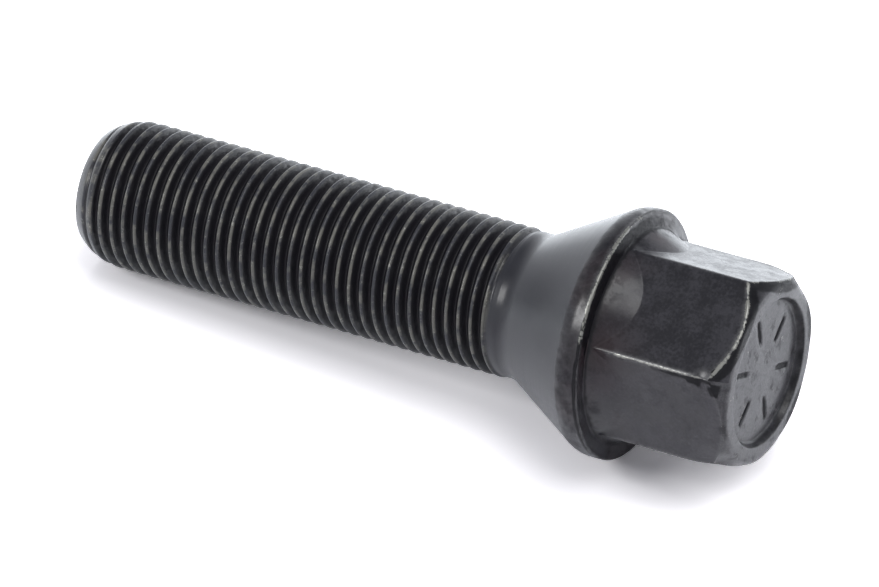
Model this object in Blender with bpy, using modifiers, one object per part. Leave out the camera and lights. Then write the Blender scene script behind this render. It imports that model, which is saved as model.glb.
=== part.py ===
"""Wheel bolt with a hexagon head, a collar, a conical seat and a fine metric thread.

The bolt is one piece of steel. Its head and collar are forged, its seat and neck are turned, and its
thread is rolled. It stands on its head: the flat rim of the head's end lies on z = 0, the axis is +Z
and the thread points up. Two of the hexagon's flats face +X and -X. Lengths are in metres and angles
in degrees.
"""

import math

import bmesh
import bpy
from mathutils import Vector

# Hexagon head
across_flats = 0.017
corner_bevel = 0.00012
head_height = 0.01335
end_face_inset = 0.00025
end_chamfer_angle = 45.0
end_edge_rounding = 0.0004

# Dish in the end of the head
rim_width = 0.00135
dish_depth = 0.0007
dish_wall_angle = 65.0
dish_rim_rounding = 0.0002
dish_floor_rounding = 0.0003

# Foot of the hexagon, which flares out to the collar
foot_angle = 24.5
foot_margin = 0.00012

# Collar and conical seat
collar_overhang = 0.0017
collar_band = 0.0016
collar_back_rounding = 0.00015
shoulder_rounding = 0.0026
seat_angle = 60.0

# Neck between the seat and the thread
neck_relief = 0.00015
neck_length = 0.0021
neck_fillet = 0.003

# Metric thread, right-handed, and how far round from +X its first full crest starts, in turns
thread_diameter = 0.0138
thread_pitch = 0.00125
thread_length = 0.0433
thread_run_out = 0.0014
thread_start = 0.66
flank_angle = 60.0

# Rounded lead at the thread's tip
lead_length = 0.0038
tip_inset = 0.0006

# Facets around the axis, and the bend above which an edge is shaded as a sharp one
head_facets = 60
thread_facets = 30
sharp_angle = 20.0

# How far one solid reaches past another where the two are joined or trimmed
overlap = 0.0004

# Sizes of the head and collar that follow from those above
corner_radius = across_flats / math.sqrt(3)
end_face_radius = across_flats / 2 - end_face_inset
dish_radius = end_face_radius - rim_width
dish_floor_radius = dish_radius - dish_depth / math.tan(math.radians(dish_wall_angle))
foot_radius = corner_radius + foot_margin
foot_slope = math.tan(math.radians(foot_angle))
foot_height = (foot_radius - across_flats / 2) / foot_slope
collar_radius = corner_radius + collar_overhang
collar_top = head_height + collar_band

# Sizes of the thread and its groove, whose depth is the metric standard's share of the pitch
thread_radius = thread_diameter / 2
crest_width = thread_pitch / 5
groove_depth = 0.6134 * thread_pitch
flank_run = groove_depth * math.tan(math.radians(flank_angle / 2))
root_radius = thread_radius - groove_depth
tip_radius = root_radius - tip_inset

# Heights along the shank
neck_radius = thread_radius - neck_relief
seat_length = (collar_radius - neck_radius) / math.tan(math.radians(seat_angle / 2))
neck_bottom = collar_top + seat_length
neck_top = neck_bottom + neck_length
tip_height = neck_top + thread_length

for leftover in list(bpy.data.objects):
    bpy.data.objects.remove(leftover, do_unlink=True)

bolt_collection = bpy.data.collections.new("Wheel bolt")
helper_collection = bpy.data.collections.new("Forms that shape the bolt")
bpy.context.scene.collection.children.link(bolt_collection)
bpy.context.scene.collection.children.link(helper_collection)


def rounded(corners):
    """The outline through (radius, z, rounding, steps) corners, with an arc where a rounding is given."""
    outline = []
    for i, (radius, z, rounding, steps) in enumerate(corners):
        corner = Vector((radius, z))
        if rounding == 0:
            outline.append(corner)
            continue
        back = Vector(corners[i - 1][:2]) - corner
        ahead = Vector(corners[i + 1][:2]) - corner
        half_angle = back.angle(ahead) / 2
        tangent = min(rounding / math.tan(half_angle), back.length * 0.45, ahead.length * 0.45)
        arc_radius = tangent * math.tan(half_angle)
        back.normalize()
        ahead.normalize()
        centre = corner + (back + ahead).normalized() * math.hypot(tangent, arc_radius)
        first_spoke = (corner + back * tangent - centre).normalized()
        last_spoke = (corner + ahead * tangent - centre).normalized()
        for step in range(steps + 1):
            outline.append(centre + first_spoke.slerp(last_spoke, step / steps) * arc_radius)
    return outline


def helper_object(name, mesh):
    """An object that only shapes the bolt, drawn as wire and left out of renders."""
    helper = bpy.data.objects.new(name, mesh)
    helper.hide_render = True
    helper.display_type = "WIRE"
    helper_collection.objects.link(helper)
    return helper


def outline_mesh(name, outline):
    """A mesh of edges through (radius, z) points in the XZ plane, given from top to bottom."""
    mesh = bpy.data.meshes.new(name)
    points = [(radius, 0, z) for radius, z in outline]
    mesh.from_pydata(points, [(i, i + 1) for i in range(len(points) - 1)], [])
    return mesh


def turned(name, outline, facets):
    """A solid turned about the Z axis from an outline that starts and ends on the axis."""
    form = helper_object(name, outline_mesh(name, outline))
    screw = form.modifiers.new("Turn", "SCREW")
    screw.axis = "Z"
    screw.angle = math.tau
    screw.steps = facets
    screw.render_steps = facets
    screw.use_merge_vertices = True
    screw.merge_threshold = 0.000001
    return form


def evaluated_mesh(shape):
    """The mesh that a shape's modifiers make."""
    graph = bpy.context.evaluated_depsgraph_get()
    return bpy.data.meshes.new_from_object(shape.evaluated_get(graph))


def combine(shape, operation, other, solver="EXACT"):
    """Joins a shape with another, or trims it by the other."""
    boolean = shape.modifiers.new(other.name, "BOOLEAN")
    boolean.operation = operation
    boolean.solver = solver
    boolean.object = other


def hexagon_bar():
    """The hexagonal bar that the head is forged to, from below the end face to inside the collar.

    Its first corner is on +Y, so two of its flats face +X and -X.
    """
    bottom = -overlap
    top = head_height + overlap
    bar = bmesh.new()
    bmesh.ops.create_cone(
        bar, cap_ends=True, segments=6, radius1=corner_radius, radius2=corner_radius, depth=top - bottom
    )
    bmesh.ops.translate(bar, verts=bar.verts, vec=(0, 0, (bottom + top) / 2))
    corners = [edge for edge in bar.edges if abs(edge.verts[0].co.z - edge.verts[1].co.z) > overlap]
    bmesh.ops.bevel(bar, geom=corners, offset=corner_bevel, segments=1, affect="EDGES")
    mesh = bpy.data.meshes.new("Hexagon bar")
    bar.to_mesh(mesh)
    bar.free()
    return mesh


def head_form():
    """What the bar is trimmed to: the chamfer round the end face, its flat rim and its dish."""
    outer_radius = corner_radius + overlap
    outer_height = (outer_radius - end_face_radius) / math.tan(math.radians(end_chamfer_angle))
    return turned("Head form", rounded([
        (0, head_height + 2 * overlap, 0, 0),
        (outer_radius, head_height + 2 * overlap, 0, 0),
        (outer_radius, outer_height, 0, 0),
        (end_face_radius, 0, end_edge_rounding, 2),
        (dish_radius, 0, dish_rim_rounding, 1),
        (dish_floor_radius, dish_depth, dish_floor_rounding, 2),
        (0, dish_depth, 0, 0),
    ]), head_facets)


def collar_and_seat():
    """The neck, the conical seat, the collar and the flared foot of the hexagon, as one turned form.

    Above the neck a short cone fills the thread's last groove, so that the groove fades out.
    """
    foot_bottom = head_height - foot_height - overlap
    return turned("Collar and seat", rounded([
        (0, neck_top + thread_run_out, 0, 0),
        (root_radius - overlap / 4, neck_top + thread_run_out, 0, 0),
        (neck_radius, neck_top, 0, 0),
        (neck_radius, neck_bottom, neck_fillet, 3),
        (collar_radius, collar_top, shoulder_rounding, 3),
        (collar_radius, head_height, collar_back_rounding, 1),
        (foot_radius, head_height, 0, 0),
        (across_flats / 2 - overlap * foot_slope, foot_bottom, 0, 0),
        (0, foot_bottom, 0, 0),
    ]), head_facets)


def thread_coil():
    """The full thread: one crest and groove carried up a helix, longer than the shank at both ends."""
    bottom = neck_top - overlap - thread_pitch * (1 + thread_start)
    turns = math.ceil((tip_height - bottom) / thread_pitch) + 1
    coil = helper_object("Thread coil", outline_mesh("Thread coil", [
        (thread_radius, bottom + thread_pitch),
        (root_radius, bottom + thread_pitch - flank_run),
        (root_radius, bottom + crest_width + flank_run),
        (thread_radius, bottom + crest_width),
        (thread_radius, bottom),
    ]))
    screw = coil.modifiers.new("Helix", "SCREW")
    screw.axis = "Z"
    screw.angle = math.tau
    screw.screw_offset = thread_pitch
    screw.iterations = turns
    screw.steps = thread_facets
    screw.render_steps = thread_facets

    body = bmesh.new()
    body.from_mesh(evaluated_mesh(coil))
    bmesh.ops.remove_doubles(body, verts=body.verts, dist=0.000001)
    middle = (bottom + tip_height) / 2
    open_edges = [edge for edge in body.edges if edge.is_boundary]
    for apex, is_lower in ((bottom, True), (bottom + (turns + 1) * thread_pitch, False)):
        loop = [edge for edge in open_edges if (edge.verts[0].co.z < middle) == is_lower]
        spokes = bmesh.ops.extrude_edge_only(body, edges=loop)["geom"]
        centre_points = [item for item in spokes if isinstance(item, bmesh.types.BMVert)]
        bmesh.ops.pointmerge(body, verts=centre_points, merge_co=(0, 0, apex))
    bmesh.ops.recalc_face_normals(body, faces=body.faces)
    coil.modifiers.clear()
    body.to_mesh(coil.data)
    body.free()
    return coil


def shank_form():
    """What the thread is trimmed to: its flat tip, its rounded lead, and crests that rise from the neck."""
    clear_radius = thread_radius + overlap / 4
    lead_drop = thread_radius - tip_radius
    lead_radius = (lead_length ** 2 + lead_drop ** 2) / (2 * lead_drop)
    outline = [(0, tip_height)]
    lead_steps = 5
    for step in range(lead_steps):
        along = lead_length * (1 - step / lead_steps)
        drop = lead_radius - math.sqrt(lead_radius ** 2 - along ** 2)
        outline.append((thread_radius - drop, tip_height - lead_length + along))
    outline += [
        (clear_radius, tip_height - lead_length),
        (clear_radius, neck_top + thread_run_out),
        (neck_radius - overlap / 2, neck_top - overlap),
        (0, neck_top - overlap),
    ]
    return turned("Shank form", outline, thread_facets)


def black_steel():
    """Steel with a black oxide finish."""
    steel = bpy.data.materials.new("Black steel")
    steel.use_nodes = True
    shader = steel.node_tree.nodes["Principled BSDF"]
    shader.inputs["Base Color"].default_value = (0.09, 0.09, 0.1, 1)
    shader.inputs["Metallic"].default_value = 1.0
    shader.inputs["Roughness"].default_value = 0.38
    return steel


def wheel_bolt():
    """The whole bolt: the trimmed bar, joined with the collar and seat and with the trimmed thread.

    The thread meets its lead and the neck in long shallow crossings, which only the manifold solver
    leaves closed.
    """
    bolt = bpy.data.objects.new("wheel_bolt", hexagon_bar())
    bolt_collection.objects.link(bolt)
    shank = thread_coil()
    combine(shank, "INTERSECT", shank_form(), "MANIFOLD")
    combine(bolt, "INTERSECT", head_form())
    combine(bolt, "UNION", collar_and_seat())
    combine(bolt, "UNION", shank, "MANIFOLD")
    bolt.data = evaluated_mesh(bolt)
    bolt.modifiers.clear()
    bolt.data.name = "wheel_bolt"
    bolt.data.shade_smooth()
    bolt.data.set_sharp_from_angle(angle=math.radians(sharp_angle))
    bolt.data.materials.clear()
    bolt.data.materials.append(black_steel())
    return bolt


wheel_bolt()
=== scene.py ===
"""Looks of the wheel bolt: its fine surface and black oxide finish, on a white floor in soft light.

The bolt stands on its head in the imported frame, with its axis on +Z and its thread upwards. The camera sees
it as if it lay on its collar and on the crests near its tip. All lengths are in metres and all angles in
degrees.
"""

import math

import bmesh
import bpy
import numpy as np
from mathutils import Matrix, Vector


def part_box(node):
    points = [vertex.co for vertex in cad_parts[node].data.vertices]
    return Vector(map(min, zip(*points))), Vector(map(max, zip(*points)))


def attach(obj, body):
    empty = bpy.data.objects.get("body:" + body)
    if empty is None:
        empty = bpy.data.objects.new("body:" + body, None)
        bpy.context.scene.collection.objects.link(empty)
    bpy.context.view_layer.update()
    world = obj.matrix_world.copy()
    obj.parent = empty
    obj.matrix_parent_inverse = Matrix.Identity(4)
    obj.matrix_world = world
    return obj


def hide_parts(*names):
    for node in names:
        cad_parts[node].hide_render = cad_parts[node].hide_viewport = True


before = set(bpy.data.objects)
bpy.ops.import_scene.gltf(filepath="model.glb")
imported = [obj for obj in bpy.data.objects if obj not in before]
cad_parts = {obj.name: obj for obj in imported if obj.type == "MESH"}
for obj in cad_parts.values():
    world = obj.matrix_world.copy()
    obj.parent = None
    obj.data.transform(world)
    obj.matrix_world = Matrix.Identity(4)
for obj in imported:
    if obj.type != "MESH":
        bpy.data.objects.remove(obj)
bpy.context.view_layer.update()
bolt_low, bolt_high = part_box("wheel_bolt")

# The camera looks at the head from beside and below. In the picture the bolt's axis runs from the head up to
# the left and away from the camera, and the bolt is turned so that one flat of its hexagon faces the camera.
picture_width = 879
lens_in_pixels = 7676.0
axis_slope = 15.8
axis_lean = 25.03
turn_about_axis = 17.38
head_end_seen = Vector((0.029156, -0.00704, -0.678171))

slope, lean, turn = (math.radians(angle) for angle in (axis_slope, axis_lean, turn_about_axis))
axis_seen = Vector((-math.cos(lean) * math.cos(slope), math.cos(lean) * math.sin(slope), -math.sin(lean)))
facing_seen = (Vector((0, 0, 1)) - axis_seen * axis_seen.z).normalized()
x_seen = facing_seen * math.cos(turn) + axis_seen.cross(facing_seen) * math.sin(turn)
camera_axes = Matrix((x_seen, axis_seen.cross(x_seen), axis_seen))
camera = bpy.data.objects.new("Camera", bpy.data.cameras.new("Camera"))
camera.data.sensor_width = 36.0
camera.data.lens = camera.data.sensor_width * lens_in_pixels / picture_width
camera.data.clip_start = 0.01
camera.matrix_world = Matrix.Translation(camera_axes @ -head_end_seen) @ camera_axes.to_4x4()
bpy.context.scene.collection.objects.link(camera)
bpy.context.scene.camera = camera


# Two white paper floors. The bolt seems to lie on one, a sheet that touches the collar and the crests near
# the tip. For a camera above z = 0 it stands on the other, which ends at the sheet. Each shows only from its
# upper side, and looks burnt out to white where the bolt's shadow doesn't reach, as in the photograph.
floor_reach = 2.5
paper_colour = (0.86, 0.86, 0.88, 1.0)
# In reflections the sheet has painted shade on the camera's side and grows paler far behind.
mirrored_paper_near = (0.8, 0.78, 0.84, 1.0)
mirrored_paper_far = (1.5, 1.56, 1.62, 1.0)
mirrored_paper_reach = 0.06
shown_sheet_colour = (1.86, 1.83, 1.88, 1.0)
shown_standing_colour = (2.9, 2.86, 2.93, 1.0)
collar_touch_height = 0.0149
tip_touch_height = 0.0648
tip_touch_radius = 0.0069
collar_radius = (bolt_high.x - bolt_low.x) / 2


def put(tree, kind, inputs=None, **settings):
    """A new node with its settings made and its inputs set, or linked where the value is a socket."""
    node = tree.nodes.new(kind)
    for name, value in settings.items():
        setattr(node, name, value)
    for name, value in (inputs or {}).items():
        if isinstance(value, bpy.types.NodeSocket):
            tree.links.new(value, node.inputs[name])
        else:
            node.inputs[name].default_value = value
    return node


def floor_finish(name, only_camera):
    """White paper, clear from below and paler to the camera. In reflections it has painted shade on the
    camera's side and is paler far behind.

    The sheet is also clear to shadow rays, so that it darkens nothing that stands behind it. A floor that is
    there for the camera only is clear to all other rays, and clear past the sheet.
    """
    finish = bpy.data.materials.new(name)
    finish.use_nodes = True
    tree = finish.node_tree
    tree.nodes.clear()
    ray = put(tree, "ShaderNodeLightPath")
    place = put(tree, "ShaderNodeTexCoord").outputs["Object"]
    nearness = put(tree, "ShaderNodeVectorMath", {0: place, 1: sheet_near}, operation="DOT_PRODUCT")
    farness = put(tree, "ShaderNodeMapRange", {
        "Value": nearness.outputs["Value"], "From Min": mirrored_paper_reach / 2,
        "From Max": -mirrored_paper_reach})
    mirror_colour = put(tree, "ShaderNodeMix", {0: farness.outputs[0], 6: mirrored_paper_near,
                                                7: mirrored_paper_far}, data_type="RGBA")
    mirrored = put(tree, "ShaderNodeMix", {0: ray.outputs["Is Glossy Ray"], 6: paper_colour,
                                           7: mirror_colour.outputs[2]}, data_type="RGBA")
    shown_colour = shown_standing_colour if only_camera else shown_sheet_colour
    colour = put(tree, "ShaderNodeMix", {0: ray.outputs["Is Camera Ray"], 6: mirrored.outputs[2],
                                         7: shown_colour}, data_type="RGBA")
    paper = put(tree, "ShaderNodeBsdfDiffuse", {"Color": colour.outputs[2]})
    hidden = put(tree, "ShaderNodeNewGeometry").outputs["Backfacing"]
    other_ray = ray.outputs["Is Shadow Ray"]
    if only_camera:
        other_ray = put(tree, "ShaderNodeMath", {0: 1.0, 1: ray.outputs["Is Camera Ray"]},
                        operation="SUBTRACT").outputs[0]
        along_up = put(tree, "ShaderNodeVectorMath", {0: place, 1: sheet_up}, operation="DOT_PRODUCT")
        past_sheet = put(tree, "ShaderNodeMath", {0: along_up.outputs["Value"], 1: -sheet_drop},
                         operation="LESS_THAN").outputs[0]
        hidden = put(tree, "ShaderNodeMath", {0: hidden, 1: past_sheet}, operation="MAXIMUM").outputs[0]
    hidden = put(tree, "ShaderNodeMath", {0: hidden, 1: other_ray}, operation="MAXIMUM").outputs[0]
    clear = put(tree, "ShaderNodeBsdfTransparent")
    either = put(tree, "ShaderNodeMixShader", {0: hidden, 1: paper.outputs[0], 2: clear.outputs[0]})
    put(tree, "ShaderNodeOutputMaterial", {"Surface": either.outputs[0]})
    return finish


def floor_sheet(name, normal, point, finish):
    """A square sheet through a point, facing along normal."""
    turned = normal.to_track_quat("Z", "Y").to_matrix()
    signs = ((-1, -1), (1, -1), (1, 1), (-1, 1))
    corners = [point + turned @ Vector((x, y, 0)) * floor_reach for x, y in signs]
    mesh = bpy.data.meshes.new(name)
    mesh.from_pydata(corners, [], [(0, 1, 2, 3)])
    mesh.materials.append(finish)
    sheet = bpy.data.objects.new(name, mesh)
    bpy.context.scene.collection.objects.link(sheet)


# The sheet's normal leans from the camera's up towards the camera, and meets the axis at the angle that the
# collar and the narrower thread give it.
camera_right, camera_up, camera_back = camera_axes.col
axis_tilt = math.atan((collar_radius - tip_touch_radius) / (tip_touch_height - collar_touch_height))
swing = math.hypot(camera_up.z, camera_back.z)
look_down = math.acos(-math.sin(axis_tilt) / swing) - math.atan2(-camera_back.z, camera_up.z)
sheet_up = camera_up * math.cos(look_down) + camera_back * math.sin(look_down)
sheet_near = camera_right.cross(sheet_up)
sheet_drop = math.hypot(sheet_up.x, sheet_up.y) * collar_radius - sheet_up.z * collar_touch_height
sheet_finish = floor_finish("White sheet", only_camera=False)
floor_sheet("lying_floor", sheet_up, -sheet_up * sheet_drop, sheet_finish)
standing_finish = floor_finish("White floor", only_camera=True)
floor_sheet("standing_floor", Vector((0, 0, 1)), Vector((0, 0, 0)), standing_finish)


# Sky and lamps. In reflections a pale backdrop stands round the sheet and darkens overhead, and the sky's
# other light is low. Of the four soft boxes, the one high behind the bolt and the one low on its right are
# not mirrored in it and shape its shadow. The camera sees none of this, only a plain white sky.
sky_tint = (0.94, 0.965, 1.02, 1.0)
sky_low = 1.0
sky_high = 0.33
sky_low_end = 0.1
sky_high_start = 0.75
paper_sky_low = 0.1
paper_sky_high = 0.42
lamp_aim = Vector((0, 0, 0.02))
white = (1.0, 1.0, 1.0, 1.0)


def soft_box(name, azimuth, elevation, distance, size, radiance):
    """A square lamp of a given radiance. Its azimuth is counted from the camera's side towards the right."""
    level = sheet_near * math.cos(math.radians(azimuth)) + camera_right * math.sin(math.radians(azimuth))
    direction = level * math.cos(math.radians(elevation)) + sheet_up * math.sin(math.radians(elevation))
    lamp = bpy.data.lights.new(name, "AREA")
    lamp.size = size
    lamp.energy = radiance * math.pi * size ** 2
    box = bpy.data.objects.new(name, lamp)
    box.matrix_world = (Matrix.Translation(lamp_aim + direction * distance)
                        @ direction.to_track_quat("Z", "Y").to_matrix().to_4x4())
    box.visible_camera = False
    bpy.context.scene.collection.objects.link(box)
    return box


soft_box("Box beside the thread", azimuth=-66, elevation=40, distance=0.8, size=0.26, radiance=9.0)
soft_box("Box over the head", azimuth=50, elevation=70, distance=0.9, size=0.6, radiance=2.4)
paper_box = soft_box("Box over the sheet", azimuth=165, elevation=76, distance=0.8, size=0.6, radiance=1.0)
paper_box.visible_glossy = False
side_box = soft_box("Box beside the head", azimuth=100, elevation=35, distance=0.8, size=0.5, radiance=3.0)
side_box.visible_glossy = False

sky = bpy.data.worlds.new("Sky")
sky.use_nodes = True
sky.node_tree.nodes.clear()
direction_seen = put(sky.node_tree, "ShaderNodeTexCoord").outputs["Generated"]
height_seen = put(sky.node_tree, "ShaderNodeVectorMath", {0: direction_seen, 1: sheet_up},
                  operation="DOT_PRODUCT")
sky_strength = put(sky.node_tree, "ShaderNodeMapRange", {
    "Value": height_seen.outputs["Value"], "From Min": sky_low_end, "From Max": sky_high_start,
    "To Min": sky_low, "To Max": sky_high})
paper_sky = put(sky.node_tree, "ShaderNodeMapRange", {
    "Value": height_seen.outputs["Value"], "From Min": 0.0, "From Max": 1.0,
    "To Min": paper_sky_low, "To Max": paper_sky_high})
sky_ray = put(sky.node_tree, "ShaderNodeLightPath")
lit_strength = put(sky.node_tree, "ShaderNodeMix", {
    0: sky_ray.outputs["Is Glossy Ray"], 2: paper_sky.outputs[0], 3: sky_strength.outputs[0]})
over_sheet = put(sky.node_tree, "ShaderNodeMath", {0: height_seen.outputs["Value"], 1: 0.0},
                 operation="GREATER_THAN")
upper_strength = put(sky.node_tree, "ShaderNodeMath", {0: lit_strength.outputs[0], 1: over_sheet.outputs[0]},
                     operation="MULTIPLY")
shown_strength = put(sky.node_tree, "ShaderNodeMix", {
    0: sky_ray.outputs["Is Camera Ray"], 2: upper_strength.outputs[0], 3: 1.0})
sky_colour = put(sky.node_tree, "ShaderNodeMix", {
    0: sky_ray.outputs["Is Camera Ray"], 6: sky_tint, 7: white}, data_type="RGBA")
sky_light = put(sky.node_tree, "ShaderNodeBackground", {
    "Color": sky_colour.outputs[2], "Strength": shown_strength.outputs[0]})
put(sky.node_tree, "ShaderNodeOutputWorld", {"Surface": sky_light.outputs[0]})
bpy.context.scene.world = sky
bpy.context.scene.view_settings.view_transform = "Standard"


# Hexagon head, forged from the blank: 17 mm across flats, chamfered round its end, with a shallow dish in
# the end face and a foot that flares out to the collar. Its surface is a grid, with a column for each angle
# round the axis and a row for each place along the section, which changes from column to column.
across_flats = 0.017
corner_rounding = 0.0004
end_face_radius = 0.00825
end_edge_rounding = 0.0011
chamfer_edge_rounding = 0.0003
rim_inner_radius = 0.0069
dish_floor_radius = 0.006574
dish_depth = 0.0007
foot_height = 0.01335
foot_radius = 0.009935
foot_slope = math.tan(math.radians(24.5))
foot_rounding = 0.0008
soft_foot_rounding = 0.0075
soft_foot_angle = math.radians(-62)
soft_foot_width = math.radians(22)
columns_per_side = 24
edge_reach = 0.00035

# Columns stand close together at the hexagon's corners, at angles from each that grow with the square.
side = math.radians(60)
half_steps = columns_per_side // 2
from_corner = (np.arange(half_steps + 1) / half_steps) ** 2 * side / 2
one_side = np.concatenate([from_corner, side - from_corner[-2:0:-1]])
corner_angles = (np.arange(6)[:, None] * side + side / 2 + one_side).ravel()
columns = len(corner_angles)
even_angles = corner_angles[0] + np.arange(columns) * math.tau / columns
own_flat = ((corner_angles + side / 2) // side).astype(int) % 6


def rounded_rows(corners):
    """Radius, height and edge value of every row of a section, at all columns at once.

    A corner is (radius, height, rounding, arc steps, run steps, edge). Its arc starts rounding / tan(a)
    along each straight run from it, where a is half the angle between the runs. The run that leads to a
    corner is cut at shares (1 - cos(pi t)) / 2. The edge value is the corner's own on its arc, and falls
    beside it as exp(-distance / reach).
    """
    place = np.array([[np.broadcast_to(value, columns) for value in corner[:2]] for corner in corners])
    edge = [np.broadcast_to(corner[5], columns) for corner in corners]
    arcs = []
    for k, corner in enumerate(corners):
        if corner[3] == 0:
            arcs.append(place[k][None])
            continue
        back, ahead = place[k - 1] - place[k], place[k + 1] - place[k]
        back_length, ahead_length = np.hypot(*back), np.hypot(*ahead)
        back, ahead = back / back_length, ahead / ahead_length
        half = np.arccos((back * ahead).sum(0)) / 2
        back_room = 0.95 if corners[k - 1][3] == 0 else 0.48
        ahead_room = 0.95 if corners[k + 1][3] == 0 else 0.48
        room = np.minimum(back_room * back_length, ahead_room * ahead_length)
        touch = np.minimum(corner[2] / np.tan(half), room)
        centre = place[k] + (back + ahead) * touch / (2 * np.cos(half) ** 2)
        first, last = place[k] + back * touch - centre, place[k] + ahead * touch - centre
        bend = math.pi - 2 * half
        share = np.linspace(0, 1, corner[3] + 1)[:, None, None]
        leaving, arriving = np.sin((1 - share) * bend) * first, np.sin(share * bend) * last
        arcs.append(centre + (leaving + arriving) / np.sin(bend))
    rows, edges = [arcs[0]], [edge[0][None]]
    for k in range(1, len(corners)):
        run_steps = corners[k][4]
        start, end = arcs[k - 1][-1], arcs[k][0]
        share = (0.5 - 0.5 * np.cos(np.pi * np.arange(1, run_steps) / run_steps))[:, None]
        length = np.hypot(*(end - start))
        rows += [start + (end - start) * share[:, None], arcs[k]]
        edges += [np.maximum(edge[k - 1] * np.exp(-share * length / edge_reach),
                             edge[k] * np.exp(-(1 - share) * length / edge_reach)),
                  np.tile(edge[k], (len(arcs[k]), 1))]
    rows = np.concatenate(rows)
    return rows[:, 0], rows[:, 1], np.concatenate(edges)


def hexagon_radius(angles):
    """Distance from the axis to the hexagon.

    It is half across flats / cos(angle from the flat's middle), and near a corner
    s cos(b) + sqrt(q^2 - s^2 sin^2(b)), for an arc of radius q centred s out on the corner's spoke.
    """
    from_flat = (angles + side / 2) % side - side / 2
    flat = across_flats / 2 / np.cos(from_flat)
    spoke = (across_flats / 2 - corner_rounding) / math.cos(side / 2)
    from_spoke = side / 2 - np.abs(from_flat)
    on_arc = across_flats / 2 * np.tan(np.abs(from_flat)) > spoke * math.sin(side / 2)
    arc = spoke * np.cos(from_spoke) + np.sqrt(np.maximum(
        corner_rounding ** 2 - (spoke * np.sin(from_spoke)) ** 2, 0))
    return np.where(on_arc, arc, flat)


def soft_step(value, width):
    """0 below -width / 2, 1 above width / 2, and 3t^2 - 2t^3 between."""
    share = np.clip(value / width + 0.5, 0, 1)
    return share * share * (3 - 2 * share)


# Collar and conical seat. The collar is forged with the head and keeps its rough skin, and its back edge
# runs a little out of true. The seat and the neck are turned smooth: a cone of 60 degrees included, which
# meets the neck in a wide fillet. The worn edges are bright where hands and sockets rub them most.
shoulder_rounding = 0.0026
shoulder_height = 0.01495
collar_edge_rounding = 0.0002
edge_mean_height = 0.01342
edge_lean = 0.00033
edge_lean_angle = math.radians(80)
neck_radius = 0.00675
neck_bottom = 0.023203
neck_top = 0.0243
neck_fillet = 0.0028
neck_join = 0.02405

bright_arc_middle = 8
bright_arc_half = 44
least_edge_wear = 0.4
bright_arc_wear = 0.5
chamfer_wear_of_flats = np.array([0.9, 0.75, 0.6, 0.8, 0.65, 0.5])

edge_height = edge_mean_height + edge_lean * np.cos(even_angles - edge_lean_angle)
from_bright_arc = (np.degrees(even_angles) - bright_arc_middle + 180) % 360 - 180
edge_wear = least_edge_wear + bright_arc_wear * np.exp(-(from_bright_arc / bright_arc_half) ** 4)
chamfer_wear = chamfer_wear_of_flats[own_flat]
flat_radius = hexagon_radius(corner_angles)
from_soft = (corner_angles - soft_foot_angle + math.pi) % math.tau - math.pi
foot_roundings = foot_rounding + soft_foot_rounding * np.exp(-(from_soft / soft_foot_width) ** 2)
head_radii, head_heights, head_wear_and_lightening = rounded_rows([
    (neck_radius, neck_join, 0, 0, 0, 0),
    (neck_radius, neck_bottom, neck_fillet, 9, 3, 0),
    (collar_radius, shoulder_height, shoulder_rounding, 8, 18, 0),
    (collar_radius, edge_height, collar_edge_rounding, 4, 8, edge_wear),
    (foot_radius, foot_height, 0.0003, 3, 8, 0),
    (flat_radius, foot_height - (foot_radius - flat_radius) / foot_slope, foot_roundings, 6, 5, 0),
    (flat_radius, flat_radius - end_face_radius, chamfer_edge_rounding, 6, 48, chamfer_wear),
    (end_face_radius, 0, end_edge_rounding, 6, 4, 0.1),
    (rim_inner_radius, 0, 0.0002, 4, 5, 0.45),
    (dish_floor_radius, dish_depth, 0.0003, 4, 4, 0),
    (0, dish_depth, 0, 0, 30, 0),
])
foot_share = np.clip((collar_radius - head_radii) / (collar_radius - foot_radius), 0, 1)
below_collar = head_heights.max(1) < shoulder_height - 0.0006
head_angles = even_angles + (corner_angles - even_angles) * foot_share * below_collar[:, None]

# The hexagon's six corners are worn too, each by its own amount, and clean again near the collar.
corner_wear = np.array([0.5, 0.6, 0.8, 0.6, 0.75, 0.95])
corner_wear_top = 0.0118
corner_wear_fade = 0.003

nearest_corner = np.round((corner_angles - side / 2) / side).astype(int) % 6
from_corner_line = across_flats / math.sqrt(3) * np.abs(corner_angles % side - side / 2)
corner_edge = corner_wear[nearest_corner] * np.exp(-from_corner_line / edge_reach)
on_hexagon = (np.abs(head_radii - flat_radius) < 0.0001) & (head_heights < foot_height)
corner_edge = corner_edge * on_hexagon * soft_step(corner_wear_top - head_heights, corner_wear_fade)
head_wear_and_lightening = np.maximum(head_wear_and_lightening, corner_edge)

# The chamfer, the rim and the dish's floor take a lighter, greyer rubbed skin all over. On the chamfer
# it is a painted reflection of the sheet, strongest on the side that faces the sheet in the picture.
chamfer_lightening_shares = np.array([0.0, 0.2, 0.3, 0.25, 0.46, 0.48])
rim_lightening = 0.5
dish_lightening = 0.45
rim_margin = 0.0003
rim_level = 0.00012

on_chamfer = (head_radii > end_face_radius - rim_margin) & (head_heights < flat_radius - end_face_radius)
head_wear_and_lightening = np.maximum(head_wear_and_lightening, chamfer_lightening_shares[own_flat] * on_chamfer)
on_rim = (head_radii > rim_inner_radius) & (head_radii < end_face_radius + rim_margin)
on_rim &= head_heights < rim_level
on_dish_floor = (head_heights > dish_depth * 0.9) & (head_heights < 2 * dish_depth)
on_dish_floor &= head_radii < dish_floor_radius
head_wear_and_lightening = np.maximum(head_wear_and_lightening, rim_lightening * on_rim + dish_lightening * on_dish_floor)


# The dish holds six plain sunken strokes, one towards each corner, pressed in when the head was forged.
stroke_inner = 0.0031
stroke_outer = 0.0054
stroke_half_width = 0.00024
stroke_soft_edge = 0.00016
stroke_depth = 0.0002

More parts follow.
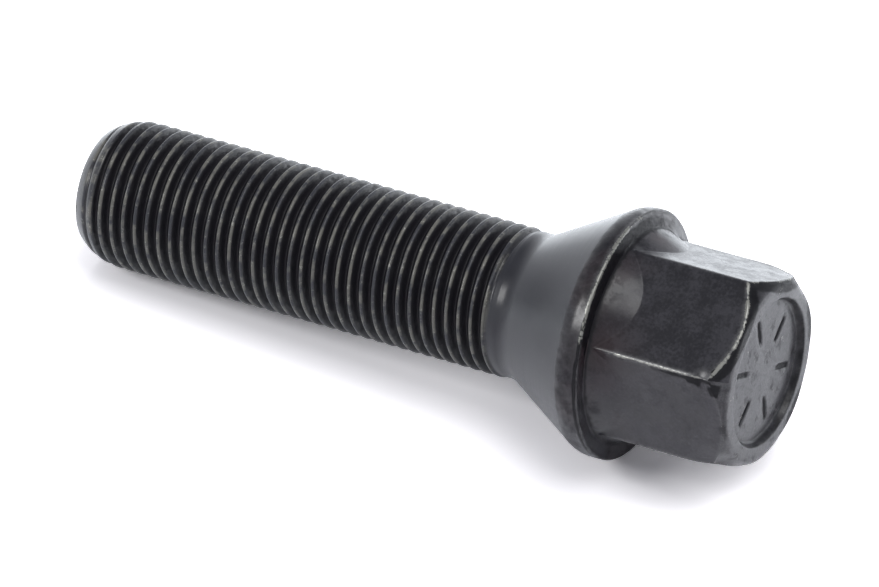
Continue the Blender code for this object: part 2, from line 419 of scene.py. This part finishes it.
in_dish = (head_heights > dish_depth * 0.9) & (head_radii < dish_floor_radius)
beside_stroke = head_radii * np.abs(np.sin(head_angles % side - side / 2))
strokes = in_dish * (soft_step(stroke_half_width - beside_stroke, stroke_soft_edge)
                     * soft_step(head_radii - stroke_inner, 2 * stroke_soft_edge)
                     * soft_step(stroke_outer - head_radii, 2 * stroke_soft_edge))
head_heights = head_heights + strokes * stroke_depth


# Oil and grime lie in the strokes. Painted shade darkens the dish's wall and the floor beside it, the ring
# between the foot and the collar's edge, most on one side, and the foot below it, and a band along the
# chamfer's edge. The collar's side is darkened thinly all round, and a dark line runs beside each of the
# hexagon's corners.
band_shade_reach = 0.0012
band_shade_shares = np.array([1.0, 0.7, 0.5, 0.6, 0.25, 0.25])
wall_reach = 0.0004
wall_fade = 0.0016
wall_shade_share = 0.45
ring_shade_reach = 0.00025
below_ring_shade_reach = 0.0015
collar_side_share = 0.3
corner_line_gap = 0.00028
corner_line_shares = np.array([0.2, 0.5, 0.5, 0.5, 0.5, 0.75])
corner_line_top = 0.007
corner_line_fade = 0.005

chamfer_drop = flat_radius - end_face_radius - head_heights
from_chamfer_edge = np.hypot(flat_radius - head_radii, chamfer_drop)
on_end = (chamfer_drop > 0.00004) & (head_radii > rim_inner_radius)
# Painted shade in a band along the chamfer's edge, its strength set flat by flat.
chamfer_band_shade = on_end * band_shade_shares[own_flat] * soft_step(band_shade_reach - from_chamfer_edge, band_shade_reach / 2)
in_wall_reach = (head_radii > dish_floor_radius - wall_fade) & (head_radii < rim_inner_radius)
on_wall = in_wall_reach & (head_heights > 0.00003) & (head_heights < 2 * dish_depth)
# Painted shade on the dish's wall and on the floor next to it.
wall_shade = on_wall * wall_shade_share * soft_step(head_radii - dish_floor_radius + wall_reach, wall_fade)
# Painted shade on the ring by the collar's edge, darker on one side, and on the foot below it.
on_ring = (head_radii > foot_radius - 0.00003) & (head_heights > foot_height - 0.00002)
ring_shade_share = 0.5 + 0.45 * np.cos(head_angles + math.radians(30))
ring_shade = on_ring * (np.abs(head_heights - foot_height) < ring_shade_reach) * ring_shade_share
below_ring = (head_radii <= foot_radius) & (head_heights < foot_height)
below_ring &= head_heights > foot_height - below_ring_shade_reach
ring_shade = np.maximum(ring_shade, below_ring * np.exp(-(foot_height - head_heights) / ring_shade_reach))
collar_side = (head_radii > collar_radius - 0.0004) * collar_side_share
past_corner = across_flats / math.sqrt(3) * (side / 2 - corner_angles % side)
off_line = (past_corner - corner_line_gap) / corner_line_gap
corner_line = on_hexagon * corner_line_shares[nearest_corner] * np.exp(-2 * off_line ** 2)
corner_line *= soft_step(corner_line_top - head_heights, corner_line_fade)
head_grime_and_shade = np.maximum.reduce([strokes, chamfer_band_shade, wall_shade, ring_shade, collar_side, corner_line])


# Thread, rolled on the shank: right-handed, 1.25 mm pitch, with narrow worn crests. The grid's rows follow
# the helix, so that each crest and root keeps its own rows, and they end on a plain ring of the neck and of
# the tip. The grooves fade out in the neck and in the rounded lead at the tip.
thread_radius = 0.0069
thread_pitch = 0.00125
groove_depth = 0.6134 * thread_pitch
crest_half = 0.075
flank_share = 0.6134 * math.tan(math.radians(30))
crest_softness = 0.1
root_softness = 0.28
crest_start = 0.00045
row_phases = np.array([0, 0.04, 0.075, 0.12, 0.19, 0.31, 0.42, 0.5])
lead_length = 0.0038
tip_radius = 0.005533
tip_height = bolt_high.z
tip_join = tip_height - 0.0004
tip_edge_rounding = 0.0003
blend_width = 0.00003


def soft_min(a, b):
    """The smaller of two, blended over a short width: (a + b - sqrt((a - b)^2 + w^2)) / 2."""
    return (a + b - np.sqrt((a - b) ** 2 + blend_width ** 2)) / 2


def shank_form(angles, heights):
    """Radius of the thread, the neck and the lead, and how far down its groove each point lies, 0 to 1.

    With a the distance to the nearest crest in pitches and t = (a - crest) / flank, the groove's depth goes
    as (1 + sqrt(t^2 + c^2) - sqrt((t - 1)^2 + r^2)) / 2, which rounds the crest by c and the root by r. The
    crests rise from the neck on a cone and fall away on the lead's arc, and a second, steeper cone fills the
    last groove.
    """
    turns = (heights - crest_start) / thread_pitch - angles / math.tau
    t = (np.abs(turns - np.round(turns)) - crest_half) / flank_share
    groove = (1 + np.sqrt(t ** 2 + crest_softness ** 2) - np.sqrt((t - 1) ** 2 + root_softness ** 2)) / 2
    rise = neck_radius + 0.25 * (heights - neck_top) - 0.00005
    drop = thread_radius - tip_radius
    arc = (lead_length ** 2 + drop ** 2) / (2 * drop)
    along = np.maximum(heights - (tip_height - lead_length), 0)
    lead = thread_radius + 0.0001 * (along == 0) - arc + np.sqrt(arc ** 2 - along ** 2)
    past_neck = np.maximum(heights - neck_top, 0)
    fill = neck_radius - 0.12 * past_neck - 0.6 * np.maximum(past_neck - 0.0006, 0)
    limit = soft_min(rise, lead)
    radius = -soft_min(-soft_min(thread_radius - groove_depth * groove, limit), -fill)
    depth = (soft_min(thread_radius + 0 * heights, limit) - radius) / groove_depth
    return radius, np.clip(depth, 0, 1) * soft_step(heights - neck_top - 0.0009, 0.0006)


phases = np.concatenate([row_phases, 1 - row_phases[-2:0:-1]])
first_turn = math.floor((neck_join - crest_start) / thread_pitch) - 2
last_turn = math.ceil((tip_join - crest_start) / thread_pitch) + 1
row_turns = (np.arange(first_turn, last_turn)[:, None] + phases).ravel()
shank_angles = np.broadcast_to(even_angles, (len(row_turns), columns))
shank_heights = crest_start + thread_pitch * (row_turns[:, None] + shank_angles / math.tau)
shank_heights = np.clip(shank_heights, neck_join, tip_join)
shank_radii, shank_depth = shank_form(shank_angles, shank_heights)
head_radii[0] = shank_form(even_angles, np.full(columns, neck_join))[0]
tip_ring = shank_form(even_angles, np.full(columns, tip_join))[0]
tip_radii, tip_heights, tip_edges = rounded_rows([
    (tip_ring, tip_join, 0, 0, 0, 0),
    (tip_radius, tip_height, tip_edge_rounding, 4, 3, 0.6),
    (0, tip_height, 0, 0, 10, 0),
])


# The bolt is one piece, so the three grids are joined into one closed surface at the neck and at the tip.
# The forged head is a little uneven, blows have dented it, and heat and fingers have left a few stains. A
# dull patch on the seat cone among them is a painted dark reflection.
uneven_sizes = (0.0034, 0.0011)
uneven_depths = (0.000022, 0.000006)
uneven_top = 0.0152

# Dents are (angle, height, reach, depth), stains and the painted reflection are (angle, height, radius,
# reach, amount), and dark chips in the skin beside the worn edges are (angle, height, radius, reach).
dents = (
    (36, 0.0129, 0.0005, 0.00015),
    (-31, 0.0022, 0.0007, 0.00022),
    (-33, 0.0009, 0.0005, 0.0002),
    (24, 0.0007, 0.0006, 0.00018),
    (-80, 0.0128, 0.0004, 0.00015),
    (140, 0.0061, 0.0008, 0.00015),
    (213, 0.0018, 0.0006, 0.0002),
    (90, 0.0009, 0.0018, 0.0004),
    (-90, 0.0011, 0.0015, 0.0003),
)
stains_and_painted_reflection = (
    (-30, 0.0124, 0.0096, 0.003, 0.9),
    (53, 0.0122, 0.0093, 0.0012, 0.8),
    # A dull patch on the seat cone: a painted dark reflection.
    (-12, 0.0202, 0.0087, 0.0034, 0.8),
    (-26, 0.0178, 0.0102, 0.003, 0.55),
    (200, 0.0128, 0.0094, 0.0028, 0.6),
    (-15, 0.0242, 0.00675, 0.0012, 0.9),
)
chips = (
    (-33.7, 0.0026, 0.00948, 0.0004),
    (-33, 0.0033, 0.00955, 0.00028),
    (-36, 0.0010, 0.00919, 0.0005),
    (-27, 0.0010, 0.00922, 0.0005),
    (23, 0.0005, 0.00885, 0.0005),
    (93, 0.0019, 0.00955, 0.0004),
    (146, 0.0017, 0.00925, 0.0005),
    (207, 0.0012, 0.0093, 0.0006),
)


def around(radii, heights, angles):
    """Points at (radius cos(angle), radius sin(angle), height), row by row."""
    across, along = radii * np.cos(angles), radii * np.sin(angles)
    return np.stack([across, along, heights + 0 * angles], axis=-1).reshape(-1, 3)


def grid_faces(first, rows, shift=0):
    """Quads of a grid that closes on itself: its last column meets its first, shift rows further on."""
    row, column = np.meshgrid(np.arange(rows - 1), np.arange(columns), indexing="ij")
    next_column = (column + 1) % columns
    next_row = row + shift * (next_column == 0)
    quads = np.stack([row * columns + column, next_row * columns + next_column,
                      (next_row + 1) * columns + next_column, (row + 1) * columns + column], axis=-1)
    return first + quads[next_row < rows - 1]


def waves(points, size, seed):
    """Unevenness from 0 to 1: 0.5 + the sum of 24 plane waves / 14, all of about one length."""
    chance = np.random.default_rng(seed)
    directions = chance.normal(size=(24, 3))
    directions /= np.linalg.norm(directions, axis=1)[:, None] * size * chance.uniform(0.7, 1.5, (24, 1))
    total = np.sin(points @ directions.T * math.tau + chance.uniform(0, math.tau, 24)).sum(1)
    return np.clip(0.5 + total / 14, 0, 1)


shank_start = head_radii.size
tip_start = shank_start + shank_radii.size
points = np.concatenate([
    around(head_radii, head_heights, head_angles),
    around(shank_radii, shank_heights, shank_angles),
    around(tip_radii, tip_heights, even_angles + 0 * tip_radii),
])
faces = np.concatenate([
    grid_faces(0, len(head_radii)),
    grid_faces(shank_start, len(shank_radii), shift=len(phases)),
    grid_faces(tip_start, len(tip_radii)),
])
wear_and_lightening_values = np.concatenate([head_wear_and_lightening.ravel(), 0 * shank_radii.ravel(), tip_edges.ravel()])
grime_and_shade_values = np.concatenate([head_grime_and_shade.ravel(), shank_depth.ravel(), 0 * tip_radii.ravel()])
surface = bpy.data.meshes.new("bolt_surface")
surface.from_pydata(points, [], faces)
surface.attributes.new("edge", "FLOAT", "POINT").data.foreach_set("value", wear_and_lightening_values.astype(np.float32))
surface.attributes.new("grime_and_shade", "FLOAT", "POINT").data.foreach_set("value", grime_and_shade_values.astype(np.float32))
joined = bmesh.new()
joined.from_mesh(surface)
bmesh.ops.remove_doubles(joined, verts=joined.verts, dist=0.0000005)
bmesh.ops.recalc_face_normals(joined, faces=joined.faces)
joined.to_mesh(surface)
joined.free()

places = np.empty(len(surface.vertices) * 3, dtype=np.float32)
surface.vertices.foreach_get("co", places)
places = places.reshape(-1, 3).astype(float)
outward = np.empty(len(surface.vertices) * 3, dtype=np.float32)
surface.vertex_normals.foreach_get("vector", outward)
outward = outward.reshape(-1, 3).astype(float)
press = np.zeros(len(places))
for seed, (size, depth) in enumerate(zip(uneven_sizes, uneven_depths)):
    press += depth * waves(places, size, seed)
press *= soft_step(uneven_top - places[:, 2], 0.001)
for angle, height, reach, depth in dents:
    turned = math.radians(angle)
    beside = hexagon_radius(np.array([turned]))[0] if height < 0.0125 else foot_radius
    centre = np.array([beside * math.cos(turned), beside * math.sin(turned), height])
    press += depth * np.exp(-(np.linalg.norm(places - centre, axis=1) / reach) ** 2)
places -= outward * press[:, None]
surface.vertices.foreach_set("co", places.ravel().astype(np.float32))
stain_and_reflection_levels = np.zeros(len(places))
for angle, height, radius, reach, amount in stains_and_painted_reflection:
    turned = math.radians(angle)
    middle = np.array([radius * math.cos(turned), radius * math.sin(turned), height])
    stain_and_reflection_levels = np.maximum(stain_and_reflection_levels, amount * np.exp(-(np.linalg.norm(places - middle, axis=1) / reach) ** 2))
grime_and_shade_levels = np.empty(len(places), dtype=np.float32)
surface.attributes["grime_and_shade"].data.foreach_get("value", grime_and_shade_levels)
for angle, height, radius, reach in chips:
    turned = math.radians(angle)
    middle = np.array([radius * math.cos(turned), radius * math.sin(turned), height])
    away = np.linalg.norm(places - middle, axis=1) + 0.8 * reach * (waves(places, reach, 5) - 0.5)
    grime_and_shade_levels = np.maximum(grime_and_shade_levels, soft_step(reach - away, 0.6 * reach))
surface.attributes["grime_and_shade"].data.foreach_set("value", grime_and_shade_levels.astype(np.float32))
surface.attributes.new("stain_and_reflection", "FLOAT", "POINT").data.foreach_set("value", stain_and_reflection_levels.astype(np.float32))
surface.update()
surface.shade_smooth()
bolt = bpy.data.objects.new("bolt_surface", surface)
bpy.context.scene.collection.objects.link(bolt)


# Finish of the bolt: black oxide on steel under a thin film of oil. It is rough where the head was forged,
# satin where the seat and neck were turned, near black in the rolled thread, and worn to grey along the
# edges and crests.
forged_colour = (0.006, 0.0055, 0.0095, 1.0)
forged_light_colour = (0.025, 0.024, 0.031, 1.0)
turned_colour = (0.0125, 0.013, 0.0185, 1.0)
turned_light_colour = (0.019, 0.0195, 0.026, 1.0)
groove_colour = (0.006, 0.0055, 0.008, 1.0)
brown_colour = (0.03, 0.017, 0.019, 1.0)
worn_colour = (0.28, 0.28, 0.26, 1.0)
rubbed_colour = (0.07, 0.07, 0.075, 1.0)
pit_colour = (0.0025, 0.0025, 0.004, 1.0)
crest_dark_colour = (0.024, 0.025, 0.032, 1.0)
crest_worn_colour = (0.115, 0.112, 0.1, 1.0)
crest_glint_colour = (0.36, 0.36, 0.33, 1.0)
tip_colour = (0.06, 0.06, 0.065, 1.0)
turned_start = 0.01545
turned_fade = 0.00025


def add_group(name, inputs, outputs):
    """A node group with the given sockets, its input sockets, and its output node."""
    group = bpy.data.node_groups.new(name, "ShaderNodeTree")
    for label, kind in inputs.items():
        group.interface.new_socket(label, in_out="INPUT", socket_type="NodeSocket" + kind)
    for label, kind in outputs.items():
        group.interface.new_socket(label, in_out="OUTPUT", socket_type="NodeSocket" + kind)
    return group, group.nodes.new("NodeGroupInput").outputs, group.nodes.new("NodeGroupOutput").inputs


def noise(tree, where, size, detail=2.0, roughness=0.55):
    """Noise from 0 to 1 around 0.5, with features of about the given size in metres."""
    return put(tree, "ShaderNodeTexNoise", {"Vector": where, "Scale": 1 / size, "Detail": detail,
                                            "Roughness": roughness}).outputs["Fac"]


def ramp(tree, value, low, high, start=0.0, end=1.0):
    """A smooth rise from start to end, as a value goes from low to high."""
    inputs = {"Value": value, "From Min": low, "From Max": high, "To Min": start, "To Max": end}
    return put(tree, "ShaderNodeMapRange", inputs, interpolation_type="SMOOTHSTEP").outputs["Result"]


def sums(tree, operation, a, b):
    """One arithmetic step."""
    return put(tree, "ShaderNodeMath", {0: a, 1: b}, operation=operation).outputs[0]


def product(tree, a, b):
    """Two values multiplied."""
    return sums(tree, "MULTIPLY", a, b)


def larger(tree, a, b):
    """The larger of two values."""
    return sums(tree, "MAXIMUM", a, b)


def uneven(tree, where, size, width, detail=2.0, roughness=0.55):
    """Noise around 0 that would span the given width from end to end."""
    return product(tree, sums(tree, "SUBTRACT", noise(tree, where, size, detail, roughness), 0.5), width)


def mixed(tree, share, a, b):
    """Colour a, going over to colour b."""
    return put(tree, "ShaderNodeMix", {0: share, 6: a, 7: b}, data_type="RGBA").outputs[2]


def tuned(tree, share, a, b):
    """Value a, going over to value b."""
    return put(tree, "ShaderNodeMix", {0: share, 2: a, 3: b}).outputs[0]


# Edge wear is a thin bare line along an edge, broken where its value is low, with pits and a rubbed, greyer
# skin beside it.
wear_group, given, made = add_group(
    "Edge wear", {"Place": "Vector", "Edge": "Float"},
    {"Bare": "Float", "Pitted": "Float", "Rubbed": "Float"})
tree = wear_group
ragged = uneven(tree, given["Place"], 0.0002, 0.8, 3.0, 0.65)
patchy = uneven(tree, given["Place"], 0.0014, 1.15, 3.0)
level = sums(tree, "ADD", given["Edge"], sums(tree, "ADD", ragged, patchy))
tree.links.new(ramp(tree, level, 0.7, 0.9), made["Bare"])
pits = ramp(tree, noise(tree, given["Place"], 0.0012, 4.0, 0.65), 0.54, 0.68, 0.0, 0.6)
near = ramp(tree, given["Edge"], 0.02, 0.35)
tree.links.new(product(tree, near, pits), made["Pitted"])
softened = sums(tree, "ADD", product(tree, ragged, 0.6), product(tree, patchy, 0.4))
tree.links.new(ramp(tree, sums(tree, "ADD", given["Edge"], softened), 0.18, 0.75), made["Rubbed"])

# Fine scratches run three ways across the surface. Each set is noise drawn out along one direction.
scratch_group, given, made = add_group("Scratches", {"Place": "Vector"}, {"Scratch": "Float"})
tree = scratch_group
total = 0.0
for tilt, seed in ((34, 0.0), (-22, 3.0), (71, 7.0)):
    turned_place = put(tree, "ShaderNodeMapping", {
        "Vector": given["Place"], "Location": (seed, seed, seed),
        "Rotation": (math.radians(tilt), math.radians(tilt / 3), 0), "Scale": (9000.0, 9000.0, 420.0)})
    streak = put(tree, "ShaderNodeTexNoise", {
        "Vector": turned_place.outputs[0], "Scale": 1.0, "Detail": 1.0})
    total = sums(tree, "ADD", ramp(tree, streak.outputs["Fac"], 0.7, 0.78), total)
tree.links.new(sums(tree, "MINIMUM", total, 1.0), made["Scratch"])

# Dust and bright grains of metal: small scattered specks.
speck_group, given, made = add_group("Specks", {"Place": "Vector"}, {"Speck": "Float"})
tree = speck_group
fine = noise(tree, given["Place"], 0.00016, 1.0)
tree.links.new(ramp(tree, fine, 0.72, 0.8), made["Speck"])

steel = bpy.data.materials.new("Black oxide steel")
steel.use_nodes = True
tree = steel.node_tree
shader = tree.nodes["Principled BSDF"]
place = put(tree, "ShaderNodeTexCoord").outputs["Object"]
height = put(tree, "ShaderNodeSeparateXYZ", {0: place}).outputs["Z"]
# The edge value holds wear, and on the chamfer also a painted reflection of the sheet.
edge = put(tree, "ShaderNodeAttribute", attribute_name="edge").outputs["Fac"]
grime_and_shade = put(tree, "ShaderNodeAttribute", attribute_name="grime_and_shade").outputs["Fac"]
stain_and_reflection = put(tree, "ShaderNodeAttribute", attribute_name="stain_and_reflection").outputs["Fac"]
wear = put(tree, "ShaderNodeGroup", node_tree=wear_group)
tree.links.new(place, wear.inputs["Place"])
tree.links.new(edge, wear.inputs["Edge"])
scratches = put(tree, "ShaderNodeGroup", node_tree=scratch_group)
tree.links.new(place, scratches.inputs["Place"])
specks = put(tree, "ShaderNodeGroup", node_tree=speck_group)
tree.links.new(place, specks.inputs["Place"])

# Where each finish starts, as heights along the bolt that wander a little, and where grime and painted
# shade lie.
wavy_height = sums(tree, "ADD", height, uneven(tree, place, 0.0011, 0.0007, 3.0))
is_turned = ramp(tree, wavy_height, turned_start, turned_start + turned_fade)
is_forged = sums(tree, "SUBTRACT", 1.0, is_turned)
is_rolled = ramp(tree, height, neck_top + 0.0005, neck_top + 0.0011)
is_tip = ramp(tree, height, tip_height - 0.0011, tip_height - 0.0007)
is_low = ramp(tree, grime_and_shade, 0.05, 0.24)
patchy_grime_and_shade = sums(tree, "ADD", grime_and_shade, uneven(tree, place, 0.0009, 0.7, 4.0))
is_grime_and_shade = product(tree, ramp(tree, grime_and_shade, 0.05, 0.2), ramp(tree, patchy_grime_and_shade, 0.15, 0.6))

# Forged skin: mottled, with brown stains in the foot, fine scratches and specks.
clouds = noise(tree, place, 0.0028, 4.0, 0.6)
grains = noise(tree, place, 0.0003, 2.0, 0.6)
mottled = sums(tree, "ADD", product(tree, clouds, 0.65), product(tree, grains, 0.35))
forged = mixed(tree, ramp(tree, mottled, 0.42, 0.62), forged_colour, forged_light_colour)
browned = product(tree, ramp(tree, height, 0.0085, 0.0125), ramp(tree, noise(tree, place, 0.0055), 0.4, 0.6))
browned = larger(tree, product(tree, browned, 0.4), product(tree, stain_and_reflection, 0.7))
forged = mixed(tree, browned, forged, brown_colour)
forged = mixed(tree, wear.outputs["Rubbed"], forged, rubbed_colour)
# Grime and painted shade darken the forged skin towards the colour of the pits.
forged = mixed(tree, product(tree, is_grime_and_shade, 0.9), forged, pit_colour)
forged_roughness = sums(tree, "ADD", ramp(tree, clouds, 0.35, 0.65, 0.28, 0.4),
                        ramp(tree, grains, 0.4, 0.6, 0.0, 0.08))

# Turned skin: smoother and more even, with faint rings left by the tool.
smudges = noise(tree, place, 0.006, 2.0)
turned_skin = mixed(tree, ramp(tree, smudges, 0.38, 0.62), turned_colour, turned_light_colour)
rings_place = put(tree, "ShaderNodeMapping", {"Vector": place, "Scale": (120.0, 120.0, 9000.0)}).outputs[0]
rings = put(tree, "ShaderNodeTexNoise", {"Vector": rings_place, "Scale": 1.0, "Detail": 2.0}).outputs["Fac"]
turned_roughness = sums(tree, "ADD", ramp(tree, smudges, 0.35, 0.65, 0.3, 0.4),
                        ramp(tree, rings, 0.3, 0.7, 0.0, 0.04))

# Rolled thread: black in its grooves. Its crests are worn to grey in stretches, and painted
# glints, bright specks in the colour, lie mostly there.
glint = ramp(tree, noise(tree, place, 0.0004, 4.0, 0.75), 0.56, 0.72)
worn_stretch = ramp(tree, noise(tree, place, 0.0021, 3.0, 0.6), 0.42, 0.6)
crest = mixed(tree, worn_stretch, crest_dark_colour, crest_worn_colour)
glint = product(tree, glint, sums(tree, "ADD", product(tree, worn_stretch, 0.7), 0.3))
crest = mixed(tree, glint, crest, crest_glint_colour)
rolled = mixed(tree, is_low, crest, groove_colour)
rolled = mixed(tree, is_tip, rolled, tip_colour)

colour = mixed(tree, is_turned, forged, turned_skin)
colour = mixed(tree, is_rolled, colour, rolled)
colour = mixed(tree, wear.outputs["Pitted"], colour, pit_colour)
colour = mixed(tree, wear.outputs["Bare"], colour, worn_colour)
tree.links.new(colour, shader.inputs["Base Color"])

roughness = tuned(tree, is_turned, forged_roughness, turned_roughness)
roughness = tuned(tree, is_rolled, roughness, ramp(tree, grime_and_shade, 0.05, 0.35, 0.3, 0.45))
roughness = tuned(tree, wear.outputs["Pitted"], roughness, 0.6)
tree.links.new(tuned(tree, wear.outputs["Bare"], roughness, 0.36), shader.inputs["Roughness"])

scratch_metal = sums(tree, "ADD", product(tree, is_forged, 0.18), 0.03)
scratched = product(tree, scratches.outputs["Scratch"], scratch_metal)
metal = larger(tree, product(tree, wear.outputs["Bare"], 0.85), scratched)
tree.links.new(metal, shader.inputs["Metallic"])

# The oil film gives most of the shine. It is almost gone in the grooves, in pits and where dry grime and
# painted shade lie. It is thin on stains, on a dull patch that paints a dark reflection on the seat cone,
# near the top of the neck, and in patches of the forged skin, most of all by the collar.
patchy_depth = sums(tree, "ADD", grime_and_shade, uneven(tree, place, 0.0007, 2.2, 4.0, 0.7))
dull = product(tree, is_rolled, ramp(tree, patchy_depth, 0.1, 0.6))
dull = larger(tree, dull, wear.outputs["Pitted"])
dull = larger(tree, dull, product(tree, is_grime_and_shade, sums(tree, "SUBTRACT", 1.0, is_rolled)))
dull = larger(tree, dull, product(tree, stain_and_reflection, 0.65))
dull = larger(tree, dull, ramp(tree, height, neck_top - 0.0014, neck_top - 0.0002, 0.0, 0.3))
patches = ramp(tree, noise(tree, place, 0.0014, 4.0, 0.65), 0.46, 0.58, 0.0, 0.7)
patches = product(tree, patches, ramp(tree, height, 0.0115, 0.013, 0.4, 1.0))
dull = larger(tree, dull, product(tree, patches, is_forged))
tree.links.new(tuned(tree, dull, 1.0, 0.08), shader.inputs["Coat Weight"])
shader.inputs["Coat IOR"].default_value = 1.5
shader.inputs["Coat Roughness"].default_value = 0.24
shader.inputs["IOR"].default_value = 1.5
shader.inputs["Specular IOR Level"].default_value = 0.2

# Relief: forged grain and pits, turned rings, and specks that stand up from the skin.
grain_height = sums(tree, "ADD", product(tree, grains, 0.6), product(tree, clouds, 0.6))
relief = tuned(tree, is_turned, grain_height, product(tree, rings, 0.12))
relief = tuned(tree, is_rolled, relief, product(tree, grains, 1.1))
relief = sums(tree, "ADD", relief, product(tree, specks.outputs["Speck"], 0.5))
relief = sums(tree, "SUBTRACT", relief, product(tree, wear.outputs["Pitted"], 0.8))
bump = put(tree, "ShaderNodeBump", {"Height": relief, "Strength": 0.5, "Distance": 0.00003})
tree.links.new(bump.outputs["Normal"], shader.inputs["Normal"])
surface.materials.append(steel)

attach(bolt, "root")
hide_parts("wheel_bolt")
